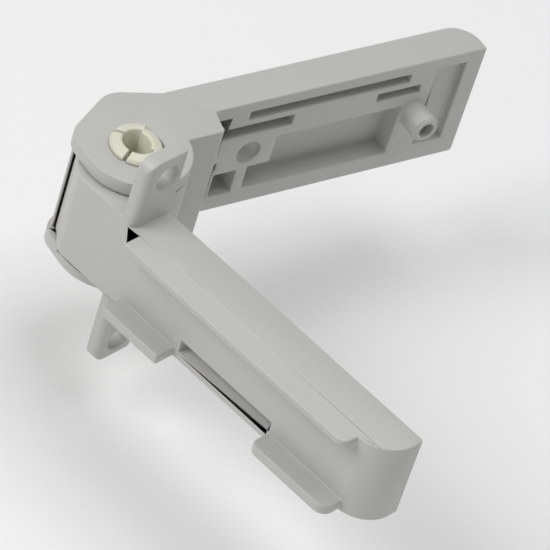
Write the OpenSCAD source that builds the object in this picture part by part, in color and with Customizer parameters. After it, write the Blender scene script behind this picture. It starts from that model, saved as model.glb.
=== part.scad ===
// Fridge door hinge: cabinet bracket, door arm and split snap pivot.
// Origin on the hinge axis, level with the top of the arm's upper ear. +Z up.
// The bracket arm points along +X. The door arm is shown part closed.

/* [Hinge] */
// Angle between the bracket arm and the door arm as shown
rest_angle = 77; // [0:1:90]
// Height of the door arm over both ears
arm_height = 27.2; // [25:0.1:30]
// Thickness of each ear of the door arm
ear_thickness = 3.1; // [2.6:0.1:3.4]
// Radius of the round side of the ears
ear_radius = 10.5; // [10.4:0.1:10.6]
// Radius of the bracket knuckle
knuckle_radius = 10.6; // [10:0.1:10.6]
// Vertical play between the knuckle and each ear
ear_gap = 0.3; // [0.2:0.05:0.5]
// Diameter of the pivot sleeve where it runs
pivot_diameter = 10; // [9:0.5:10]
// Bore through the pivot sleeve
pivot_bore = 5.6; // [4.5:0.1:6]

/* [Door arm] */
// Reach of the door arm from the hinge axis
arm_reach = 82.3; // [80:0.1:90]
// Thickness of the long part of the door arm
arm_thickness = 7.6; // [7:0.1:7.6]
// Distance of the smooth outer face from the hinge axis
outer_face = 11.6; // [11.4:0.1:11.8]
// Outer end corner radius of the door arm
arm_end_radius = 5.5; // [2:0.5:6.5]
// Reach of the thick part next to the hinge
thick_reach = 18.7; // [18:0.1:19.5]
// Depth of the large pocket in the open face
pocket_depth = 4.2; // [2:0.1:5]
// Depth of the narrow slots in the open face
slot_depth = 5; // [3:0.1:5.5]
// Depth of the shallow recess at the outer end
end_recess_depth = 1.6; // [1:0.1:2.5]
// Diameter of the screw boss
boss_diameter = 5.8; // [5:0.1:6]
// Pilot hole of the screw boss
boss_pilot = 3.2; // [2.5:0.1:3.6]
// Diameter of the screw dimple in the open face
dimple_diameter = 5.2; // [4:0.1:5.6]

/* [Bracket] */
// Reach of the bracket from the hinge axis
bracket_reach = 79.7; // [78:0.1:90]
// Width of the bracket arm
bracket_width = 9.6; // [9:0.1:10]
// Height of the bracket arm
bracket_height = 17.9; // [17:0.1:19]
// How far the top lip and the ledges stand out from the side
lip_width = 3.7; // [3:0.1:4.5]
// Thickness of the top lip
lip_thickness = 1.7; // [1.4:0.1:2.2]
// Thickness of the two bottom ledges
ledge_thickness = 2.2; // [1.6:0.1:2.4]
// Outer end corner radius of the bracket
bracket_end_radius = 7; // [3:0.5:8]
// Screw hole in each lug
lug_hole = 5.4; // [4:0.1:6]
// Thickness of the screw lugs
lug_thickness = 3.1; // [2.6:0.1:3.2]
// Wall thickness around the core of the bracket arm
bracket_wall = 2; // [1.6:0.1:2.2]
// Depth of the foot under the outer end
end_foot = 0.5; // [0.2:0.1:0.8]

/* [Hidden] */
$fn = 72;
eps = 0.01;
plastic = [0.74, 0.74, 0.72];
cream = [0.84, 0.83, 0.74];
// bracket faces
by1 = -2.7;
by0 = by1 - bracket_width;
bz1 = -4.5;
bz0 = bz1 - bracket_height;
// knuckle height between the ears
kz1 = -ear_thickness - ear_gap;
kz0 = -arm_height + ear_thickness + ear_gap;
side_z0 = bz0 - 0.4;
ledge_reach = lip_width + 0.85;
// lugs
lug_x1 = 13;
lug_x0 = lug_x1 - lug_thickness;
lug_top = 11;
lug_bottom = -39.5;
hole_y = -6.5;
hole_z1 = 5.8;
hole_z0 = -35.4;
// door arm faces, in the arm's own directions
open_face = outer_face - arm_thickness;
near_face = -1.25;
arm_mid = -arm_height / 2;
clear_radius = ear_radius + 0.3;
web_radius = ear_radius + 0.55;
web_end = 145;
// ear outline circles
corner_r = 5;
corner_x = -ear_radius + corner_r;
corner_y = 4.6;
crown_r = 6;
crown_x = 2.65;
crown_y = 8.41;
slope = 18.4;
// pivot sleeve
sleeve_r = pivot_diameter / 2;
bore_r = pivot_bore / 2;
finger_root = -14;
finger_bend = -8;
finger_relief = 0.3;
finger_shift = 1.15;

// angle of the outward normal of the outer tangent from circle 1 to circle 2
function tangent_angle(x1, y1, r1, x2, y2, r2) =
  atan2(y2 - y1, x2 - x1) + acos((r1 - r2) / norm([x2 - x1, y2 - y1]));
function on_circle(x, y, r, a) = [x + r * cos(a), y + r * sin(a)];

// rounds an edge along X: the material lies towards sy and sz
module edge_x(x0, x1, y, z, r, sy, sz) {
  translate([x0, y, z])
    rotate([90, 0, 90])
      linear_extrude(x1 - x0)
        difference() {
          translate([sy > 0 ? -1 : -r, sz > 0 ? -1 : -r])
            square(r + 1);
          translate([sy * r, sz * r])
            circle(r, $fn = 32);
        }
}

// rounds an edge along Z: the material lies towards sx and sy
module edge_z(z0, z1, x, y, r, sx, sy) {
  translate([x, y, z0])
    linear_extrude(z1 - z0)
      difference() {
        translate([sx > 0 ? -1 : -r, sy > 0 ? -1 : -r])
          square(r + 1);
        translate([sx * r, sy * r])
          circle(r, $fn = 48);
      }
}

// rounds an edge along Y: the material lies towards sx and sz
module edge_y(y0, y1, x, z, r, sx, sz) {
  translate([x, y1, z])
    rotate([90, 0, 0])
      linear_extrude(y1 - y0)
        difference() {
          translate([sx > 0 ? -1 : -r, sz > 0 ? -1 : -r])
            square(r + 1);
          translate([sx * r, sz * r])
            circle(r, $fn = 32);
        }
}

// plan of the bracket knuckle with its flat left side
module knuckle_plan() {
  cx = -1.2;
  cr = 3;
  cy = by0 + cr;
  ta = tangent_angle(cx, cy, cr, 0, 0, knuckle_radius);
  translate([cx, cy])
    circle(cr);
  polygon([
    on_circle(cx, cy, cr, ta),
    on_circle(0, 0, knuckle_radius, ta),
    [0, 0],
    [lug_x1, by1],
    [lug_x1, by0],
    [cx, by0]
  ]);
}

// plan of the bracket arm with its rounded end
module bracket_plan() {
  r = bracket_end_radius;
  translate([lug_x0, by0])
    square([bracket_reach - r - lug_x0, bracket_width]);
  translate([lug_x0, by0 + r])
    square([bracket_reach - lug_x0 - 0.8, bracket_width - r]);
  intersection() {
    translate([bracket_reach - r, by0 + r])
      circle(r, $fn = 96);
    translate([bracket_reach - r, by0])
      square([r, bracket_width - 0.8]);
  }
  translate([bracket_reach - 0.8, by1 - 0.8])
    circle(0.8, $fn = 32);
  translate([bracket_reach - r, by0 + r])
    square([r, bracket_width - r - 0.8]);
}

// one bottom or top shelf beside the arm with rounded outer corners
module shelf(x0, x1, reach, z, h, r0, r1) {
  y0 = by0 - reach;
  translate([x0 + r0, y0, z])
    cube([x1 - r1 - x0 - r0, reach + 2, h]);
  translate([x0, y0 + r0, z])
    cube([r0 + 1, reach + 2 - r0, h]);
  translate([x1 - r1 - 1, y0 + r1, z])
    cube([r1 + 1, reach + 2 - r1, h]);
  translate([x0 + r0, y0 + r0, z])
    cylinder(r = r0, h = h, $fn = 48);
  translate([x1 - r1, y0 + r1, z])
    cylinder(r = r1, h = h, $fn = 48);
}

// one screw lug, a plate across the bracket with rounded corners
module lug(y0, z0, z1, zh) {
  difference() {
    translate([lug_x0, y0, z0])
      cube([lug_thickness, by1 - y0, z1 - z0]);
    translate([lug_x0 - 1, hole_y, zh])
      rotate([0, 90, 0])
        cylinder(d = lug_hole, h = lug_thickness + 2);
  }
}

module cabinet_bracket() {
  color(plastic)
    difference() {
      union() {
        // knuckle barrel and its flat side
        translate([0, 0, kz0])
          cylinder(r = knuckle_radius, h = kz1 - kz0, $fn = 120);
        translate([0, 0, side_z0])
          linear_extrude(kz1 - side_z0)
            knuckle_plan();
        // arm
        translate([0, 0, bz0])
          linear_extrude(bracket_height)
            bracket_plan();
        // lugs
        lug(by0, bz1 - 4, lug_top, hole_z1);
        lug(by0 + 0.8, lug_bottom, bz0 + 4, hole_z0);
        // foot under the outer end
        intersection() {
          translate([0, 0, bz0 - end_foot])
            linear_extrude(end_foot + 1)
              bracket_plan();
          translate([66, by0 - 1, bz0 - 2])
            cube([30, bracket_width + 2, 4]);
        }
        // top lip and the two bottom ledges
        shelf(14.4, 72.3, lip_width, bz1 - lip_thickness, lip_thickness, 0.6, 2);
        shelf(14.7, 29.5, ledge_reach, bz0, ledge_thickness, 0.6, 0.6);
        shelf(54.3, 73.7, ledge_reach, bz0, ledge_thickness, 1.6, 2.5);
      }
      // pivot bore
      translate([0, 0, kz0 - 1])
        cylinder(r = sleeve_r + 0.05, h = kz1 - kz0 + 2, $fn = 96);
      // room for the turning ears
      translate([0, 0, kz1])
        cylinder(r = clear_radius, h = 4.2, $fn = 120);
      translate([0, 0, kz0 - 4.2])
        cylinder(r = clear_radius, h = 4.2, $fn = 120);
      // lowered strip along the lip
      translate([0, by0 - lip_width - 1, bz1])
        rotate([90, 0, 0])
          mirror([0, 0, 1])
            linear_extrude(lip_width + 1 + 1.3)
              polygon([[18, 0], [26, -0.3], [90, -0.3], [90, 1], [18, 1]]);
      // core of the arm, open on the hidden side
      for (x = [[17, 28.6], [30.4, 54.1], [55.9, 74]])
        translate([x[0], by0 + bracket_wall, bz0 + bracket_wall])
          cube([x[1] - x[0], bracket_width, bracket_height - 2 * bracket_wall]);
      // side window into the core
      translate([30.4, by0 - 1, bz0 + bracket_wall - 0.3])
        cube([23.7, bracket_wall + 2, 2.9]);
      // soft edges
      edge_z(bz1, lug_top + 1, lug_x1, by0, 1.6, -1, 1);
      edge_z(lug_bottom - 1, bz0, lug_x1, by0 + 0.8, 1.6, -1, 1);
      edge_x(lug_x0 - 1, lug_x1 + 1, by0, lug_top, 3, 1, -1);
      edge_x(lug_x0 - 1, lug_x1 + 1, by1, lug_top, 0.6, -1, -1);
      edge_x(lug_x0 - 1, lug_x1 + 1, by0 + 0.8, lug_bottom, 1.6, 1, 1);
      edge_x(lug_x0 - 1, lug_x1 + 1, by1, lug_bottom, 1.2, -1, 1);
    }
}

// plan of the ears, drawn in by the given amount
module ear_plan(inset) {
  cr = corner_r - inset;
  wr = crown_r - inset;
  ta = tangent_angle(corner_x, corner_y, cr, crown_x, crown_y, wr);
  top = on_circle(crown_x, crown_y, wr, 90 - slope);
  run = (top[1] - outer_face + inset) / tan(slope);
  circle(ear_radius, $fn = 120);
  translate([corner_x, corner_y])
    circle(cr);
  translate([crown_x, crown_y])
    circle(wr);
  polygon([
    [0, 0],
    [-ear_radius + inset, 0],
    [-ear_radius + inset, corner_y],
    [corner_x, corner_y],
    on_circle(corner_x, corner_y, cr, ta),
    on_circle(crown_x, crown_y, wr, ta),
    [crown_x, crown_y],
    top,
    [top[0] + run, outer_face - inset],
    [thick_reach - 2, outer_face - inset],
    [thick_reach - 2, near_face],
    [ear_radius - 2, near_face]
  ]);
}

// plan of the long arm with the leaning step beside the hinge
module arm_plan() {
  r = arm_end_radius;
  s = 1;
  lean = 12;
  f = 0.9;
  foot = thick_reach + (open_face - 0.2) * tan(lean);
  fx = thick_reach + (open_face - f - 0.2) * tan(lean) + f / cos(lean);
  difference() {
    union() {
      translate([8, near_face])
        square([thick_reach - 8, outer_face - near_face]);
      translate([8, open_face])
        square([arm_reach - 8, arm_thickness]);
      polygon([
        [thick_reach - 1, near_face],
        [thick_reach, near_face],
        [thick_reach, 0.2],
        [foot, open_face],
        [fx, open_face],
        [fx, open_face + 1],
        [thick_reach - 1, open_face + 1]
      ]);
      // inside corner of the step
      polygon([
        [foot, open_face + eps],
        [fx - f * cos(lean), open_face - f + f * sin(lean)],
        [fx, open_face - f],
        [fx, open_face + eps]
      ]);
    }
    translate([fx, open_face - f])
      circle(f, $fn = 32);
    // outside corner of the step
    translate([thick_reach - s, near_face - 1])
      difference() {
        square([s + 1, s + 1]);
        translate([0, s + 1])
          circle(s, $fn = 32);
      }
    // outer end corner
    translate([arm_reach - r, outer_face - r])
      difference() {
        square(r + 1);
        circle(r, $fn = 96);
      }
  }
}

// a pocket cut into the open face
module pocket(a0, a1, z0, z1, depth) {
  translate([a0, open_face - 1, z0])
    cube([a1 - a0, depth + 1, z1 - z0]);
}

module door_arm_solid() {
  difference() {
    union() {
      difference() {
        union() {
          // ears
          translate([0, 0, -ear_thickness])
            linear_extrude(ear_thickness)
              ear_plan(0);
          translate([0, 0, -arm_height])
            linear_extrude(ear_thickness)
              ear_plan(0);
          // curved web between the ears
          translate([0, 0, -arm_height + 1])
            linear_extrude(arm_height - 2)
              ear_plan(0.6);
          // long arm
          translate([0, 0, -arm_height])
            linear_extrude(arm_height)
              arm_plan();
        }
        // room for the knuckle
        translate([0, 0, -arm_height + ear_thickness])
          cylinder(r = web_radius, h = arm_height - 2 * ear_thickness, $fn = 120);
        // the web stops short on the left
        translate([0, 0, -arm_height + ear_thickness])
          linear_extrude(arm_height - 2 * ear_thickness)
            polygon([
              [0, 0],
              [16 * cos(web_end), 16 * sin(web_end)],
              [-16, 5],
              [-16, -16],
              [10, -16],
              [10, -2]
            ]);
      }
      // screw boss
      translate([68.7, open_face + 1, arm_mid])
        rotate([90, 0, 0]) {
          cylinder(d = boss_diameter, h = open_face + 1 - near_face - 0.4);
          cylinder(d1 = boss_diameter, d2 = boss_diameter - 0.8, h = open_face + 1 - near_face);
        }
    }
    // pivot bores
    translate([0, 0, -arm_height - 1])
      cylinder(r = sleeve_r + 0.02, h = arm_height + 2, $fn = 96);
    // narrow slots
    pocket(28.2, 65.3, -4.7, -2.6, slot_depth);
    pocket(20.4, 39.1, -8.7, -6.1, slot_depth);
    pocket(20.4, 23.8, -6.2, -3.3, slot_depth);
    pocket(58.5, 68.6, -8.1, -6.1, slot_depth);
    // grooves beside the step
    pocket(20.4, 23, -12.1, -8.6, slot_depth);
    pocket(20.4, 23.7, -16.6, -14.8, slot_depth);
    pocket(20.4, 23.2, -23.7, -16.5, slot_depth);
    // square pocket
    pocket(23.9, 29, -23.6, -17.9, slot_depth);
    // large pocket and its lower corner
    pocket(36.4, 65.3, -23.3, -11, pocket_depth);
    pocket(31.5, 37, -23.3, -17.6, pocket_depth);
    // recess at the outer end
    difference() {
      pocket(71.5, 78.4, -22.8, -2.8, end_recess_depth);
      translate([68.7, open_face + 3, arm_mid])
        rotate([90, 0, 0])
          cylinder(d = boss_diameter, h = 8);
    }
    // screw dimple
    translate([30.5, open_face - eps, arm_mid])
      rotate([-90, 0, 0]) {
        cylinder(d = dimple_diameter, h = 0.8);
        translate([0, 0, 0.8 - eps])
          cylinder(d1 = dimple_diameter, d2 = 1, h = 1.8);
      }
    // pilot hole of the boss
    translate([68.7, near_face - 1, arm_mid])
      rotate([-90, 0, 0])
        cylinder(d = boss_pilot, h = 9, $fn = 48);
    // soft lower corner of the outer end
    edge_y(open_face - 1, outer_face + 1, arm_reach, -arm_height, 0.9, -1, 1);
  }
}

module door_arm() {
  color(plastic)
    rotate([0, 0, rest_angle])
      door_arm_solid();
}

// the sleeve before its fingers are cut
module sleeve_body() {
  rotate_extrude($fn = 96)
    polygon([
      [bore_r, -arm_height - 1.2],
      [sleeve_r + 0.9, -arm_height - 1.2],
      [sleeve_r + 1.2, -arm_height - 0.9],
      [sleeve_r + 1.2, -arm_height - 0.02],
      [sleeve_r, -arm_height - 0.02],
      [sleeve_r, 0.05],
      [sleeve_r + 0.6, 0.1],
      [sleeve_r + 0.6, 0.5],
      [sleeve_r + 0.2, 1],
      [bore_r + 0.9, 1.5],
      [bore_r + 0.5, 1.3],
      [bore_r + finger_relief, 0.7],
      [bore_r + finger_relief, finger_root - 0.4],
      [bore_r, finger_root - 0.4]
    ]);
}

// the space of one finger between two slit angles
module finger_space(a0, a1, z0) {
  am = (a0 + a1) / 2;
  translate([0, 0, z0])
    linear_extrude(20)
      polygon([
        [0, 0],
        [12 * cos(a0), 12 * sin(a0)],
        [16 * cos(am), 16 * sin(am)],
        [12 * cos(a1), 12 * sin(a1)]
      ]);
}

module slit(a, z0) {
  rotate([0, 0, a])
    translate([bore_r - 1, -0.35, z0])
      cube([6, 0.7, 22]);
}

module pivot_sleeve() {
  color(cream)
    rotate([0, 0, rest_angle]) {
      difference() {
        sleeve_body();
        finger_space(-55, 41, finger_bend);
        for (a = [-55, 41, 123, 210])
          slit(a, finger_root);
      }
      // the finger on the right is sprung inwards above its bend
      translate([-finger_shift * cos(7), finger_shift * sin(7), 0])
        intersection() {
          difference() {
            sleeve_body();
            slit(41, finger_bend - 2);
            slit(-55, finger_bend - 2);
          }
          finger_space(-55, 41, finger_bend - 0.6);
        }
    }
}

cabinet_bracket();
door_arm();
pivot_sleeve();
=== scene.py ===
import math

import bpy
from mathutils import Matrix, Vector
from mathutils.bvhtree import BVHTree


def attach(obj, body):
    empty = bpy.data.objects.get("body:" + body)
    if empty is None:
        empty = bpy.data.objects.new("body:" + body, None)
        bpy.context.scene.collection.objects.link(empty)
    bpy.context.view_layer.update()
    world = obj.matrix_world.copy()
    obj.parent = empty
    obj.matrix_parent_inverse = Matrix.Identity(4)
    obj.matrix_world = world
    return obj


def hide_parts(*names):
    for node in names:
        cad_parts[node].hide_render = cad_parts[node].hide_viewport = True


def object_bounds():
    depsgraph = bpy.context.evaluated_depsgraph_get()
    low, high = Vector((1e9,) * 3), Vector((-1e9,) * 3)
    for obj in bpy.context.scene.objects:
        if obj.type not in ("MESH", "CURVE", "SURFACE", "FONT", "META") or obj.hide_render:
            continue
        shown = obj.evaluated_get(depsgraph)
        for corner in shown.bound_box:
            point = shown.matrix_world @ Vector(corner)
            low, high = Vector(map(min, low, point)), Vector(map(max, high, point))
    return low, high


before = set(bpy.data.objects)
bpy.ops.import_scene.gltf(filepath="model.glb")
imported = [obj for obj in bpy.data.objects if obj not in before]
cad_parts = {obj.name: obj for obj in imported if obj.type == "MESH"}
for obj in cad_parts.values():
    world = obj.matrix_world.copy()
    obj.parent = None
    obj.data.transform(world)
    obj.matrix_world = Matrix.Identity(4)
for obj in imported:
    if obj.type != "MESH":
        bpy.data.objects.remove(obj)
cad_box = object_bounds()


# Camera
# A long lens a little under a metre away looks down on the hinge from the bracket's lip side.
# The picture is turned clockwise, so the upright hinge axis leans to the right.
MM = 0.001
VIEW_CENTRE = Vector((31.4214, 8.8459, -10.7040)) * MM
VIEW_AZIMUTH = math.radians(-57.1482)
VIEW_ELEVATION = math.radians(41.8913)
VIEW_ROLL = math.radians(18.4706)
VIEW_DISTANCE = 824.485 * MM
SENSOR = 36.0
FOCAL_LENGTH = 294.541

camera_data = bpy.data.cameras.new("camera")
camera = bpy.data.objects.new("camera", camera_data)
bpy.context.scene.collection.objects.link(camera)
bpy.context.scene.camera = camera
camera_data.sensor_width = SENSOR
camera_data.lens = FOCAL_LENGTH
camera_data.clip_start = 0.05
camera_data.clip_end = 20
turn = Matrix.Rotation(VIEW_AZIMUTH + math.radians(90), 4, "Z")
turn = turn @ Matrix.Rotation(math.radians(90) - VIEW_ELEVATION, 4, "X")
turn = turn @ Matrix.Rotation(VIEW_ROLL, 4, "Z")
back = turn.to_3x3() @ Vector((0, 0, 1))
camera.matrix_world = Matrix.Translation(VIEW_CENTRE + back * VIEW_DISTANCE) @ turn


# Cabinet bracket
# One moulding of pale grey ABS, with a satin face from the spark eroded mould and soft moulded edges.
# It carries the knuckle, the arm with its lip and ledges, and the two screw lugs.
def linear(hex_colour):
    """A linear RGBA colour from an sRGB hex value."""
    parts = [int(hex_colour[i:i + 2], 16) / 255 for i in (1, 3, 5)]
    parts = [p / 12.92 if p <= 0.04045 else ((p + 0.055) / 1.055) ** 2.4 for p in parts]
    return (*parts, 1.0)


def add(tree, kind, settings=None, inputs=None):
    """A new node with its settings, and its inputs as values or as links from other sockets."""
    node = tree.nodes.new(kind)
    for name, value in (settings or {}).items():
        setattr(node, name, value)
    for name, value in (inputs or {}).items():
        if isinstance(value, bpy.types.NodeSocket):
            tree.links.new(value, node.inputs[name])
        else:
            node.inputs[name].default_value = value
    return node


def moulded_plastic(name, colour, cloud_colour, roughness, grain_mm, grain_depth_mm):
    """A moulded plastic: faint cloudy colour, and fine grain from the mould in the surface."""
    material = bpy.data.materials.new(name)
    material.use_nodes = True
    tree = material.node_tree
    shader = tree.nodes["Principled BSDF"]
    place = add(tree, "ShaderNodeTexCoord")
    flow = add(
        tree,
        "ShaderNodeTexNoise",
        None,
        {"Vector": place.outputs["Object"], "Scale": 1 / (14 * MM), "Detail": 3.0, "Roughness": 0.55},
    )
    colours = add(
        tree,
        "ShaderNodeMix",
        {"data_type": "RGBA"},
        {0: flow.outputs["Fac"], 6: linear(colour), 7: linear(cloud_colour)},
    )
    tree.links.new(colours.outputs[2], shader.inputs["Base Color"])
    grain = add(
        tree,
        "ShaderNodeTexNoise",
        None,
        {"Vector": place.outputs["Object"], "Scale": 1 / (grain_mm * MM), "Detail": 2.0, "Roughness": 0.6},
    )
    gloss = add(
        tree,
        "ShaderNodeMapRange",
        None,
        {
            "Value": grain.outputs["Fac"],
            "From Min": 0.3,
            "From Max": 0.7,
            "To Min": roughness - 0.04,
            "To Max": roughness + 0.05,
        },
    )
    tree.links.new(gloss.outputs["Result"], shader.inputs["Roughness"])
    bump = add(
        tree,
        "ShaderNodeBump",
        None,
        {"Height": grain.outputs["Fac"], "Strength": 0.35, "Distance": grain_depth_mm * MM},
    )
    tree.links.new(bump.outputs["Normal"], shader.inputs["Normal"])
    return material


def soften(node, name, edge_mm, material):
    """A copy of a CAD node with its sharp edges rounded, as they come from the mould."""
    bpy.ops.object.select_all(action="DESELECT")
    piece = node.copy()
    piece.data = node.data.copy()
    piece.name = name
    piece.data.name = name
    bpy.context.scene.collection.objects.link(piece)
    piece.select_set(True)
    bpy.context.view_layer.objects.active = piece
    bpy.ops.object.mode_set(mode="EDIT")
    bpy.ops.mesh.select_all(action="SELECT")
    bpy.ops.mesh.remove_doubles(threshold=0.05 * MM)
    bpy.ops.mesh.dissolve_limited(angle_limit=math.radians(0.6))
    bpy.ops.object.mode_set(mode="OBJECT")
    sharp = BVHTree.FromPolygons(
        [v.co for v in node.data.vertices], [tuple(p.vertices) for p in node.data.polygons]
    )
    rim = piece.modifiers.new("rim", "BEVEL")
    rim.width = edge_mm * MM
    rim.segments = 3
    rim.limit_method = "ANGLE"
    rim.angle_limit = math.radians(32)
    rim.use_clamp_overlap = False
    bpy.ops.object.modifier_apply(modifier=rim.name)
    # where a rounding runs out, a corner can overshoot, so it goes back onto the surface
    for vertex in piece.data.vertices:
        place, normal, face, distance = sharp.find_nearest(vertex.co)
        if distance > 0.5 * edge_mm * MM:
            vertex.co = place
    bpy.ops.object.shade_smooth_by_angle(angle=math.radians(28))
    piece.data.materials.clear()
    piece.data.materials.append(material)
    return piece


grey_abs = moulded_plastic("satin_moulded_grey_abs", "#BDBDBA", "#B9B9B6", 0.42, 0.35, 0.006)
bracket = soften(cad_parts["cabinet_bracket"], "bracket_moulding", 0.3, grey_abs)
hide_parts("cabinet_bracket")
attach(bracket, "bracket")


# Door arm
# One moulding of the same pale grey ABS, with two ears, a curved web and a flat arm.
# Its open face has slots and pockets that keep the wall even, and a boss for a screw.
door_arm = soften(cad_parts["door_arm"], "door_arm_moulding", 0.3, grey_abs)
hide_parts("door_arm")
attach(door_arm, "arm")


# Pivot sleeve
# A snap sleeve of unpigmented acetal, cream coloured and a little waxy, moulded in one piece.
# It is pushed up through both ears and the knuckle until its four fingers spring out on top.
cream_acetal = moulded_plastic("waxy_moulded_cream_acetal", "#D9D8C8", "#D3D2BF", 0.38, 0.3, 0.003)
sleeve = soften(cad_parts["pivot_sleeve"], "pivot_sleeve_moulding", 0.12, cream_acetal)
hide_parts("pivot_sleeve")
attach(sleeve, "arm")


# Floor
# A plain white studio sweep, level and matt, under the held hinge.
FLOOR_SIZE = 6.0
FLOOR_DROP = 12 * MM
bpy.ops.object.select_all(action="DESELECT")
floor_z = cad_box[0].z - FLOOR_DROP
bpy.ops.mesh.primitive_plane_add(size=FLOOR_SIZE, location=(0, 0, floor_z))
floor = bpy.context.active_object
floor.name = "floor"
bpy.ops.object.transform_apply(location=True, rotation=True, scale=True)
paper = bpy.data.materials.new("matt_white_paper")
paper.use_nodes = True
tree = paper.node_tree
tree.nodes["Principled BSDF"].inputs["Base Color"].default_value = linear("#F2F2F2")
tree.nodes["Principled BSDF"].inputs["Roughness"].default_value = 0.9
floor.data.materials.append(paper)


# Studio light
# Large soft lamps: one over the left shoulder, a weak one from the right, and an even pale room.
def soft_lamp(name, place, target, size, power):
    """A square area lamp in metres that faces its target."""
    data = bpy.data.lights.new(name, "AREA")
    data.shape = "SQUARE"
    data.size = size
    data.energy = power
    lamp = bpy.data.objects.new(name, data)
    bpy.context.scene.collection.objects.link(lamp)
    lamp.location = place
    lamp.rotation_euler = (Vector(target) - Vector(place)).to_track_quat("-Z", "Y").to_euler()
    return lamp


soft_lamp("key_lamp", (-0.45, -0.85, 0.95), (0.03, 0.02, -0.01), 0.7, 9.0)
soft_lamp("top_lamp", (0.1, 0.3, 1.3), (0.03, 0.02, -0.01), 0.9, 7.0)

world = bpy.data.worlds.new("pale_room")
bpy.context.scene.world = world
world.use_nodes = True
tree = world.node_tree
tree.nodes.clear()
path = add(tree, "ShaderNodeLightPath")
room = add(tree, "ShaderNodeBackground", None, {"Color": (1, 1, 1, 1), "Strength": 0.35})
white = add(tree, "ShaderNodeBackground", None, {"Color": (1, 1, 1, 1), "Strength": 1.0})
seen = add(
    tree,
    "ShaderNodeMixShader",
    None,
    {0: path.outputs["Is Camera Ray"], 1: room.outputs[0], 2: white.outputs[0]},
)
add(tree, "ShaderNodeOutputWorld", None, {"Surface": seen.outputs[0]})

bpy.context.scene.view_settings.view_transform = "Standard"
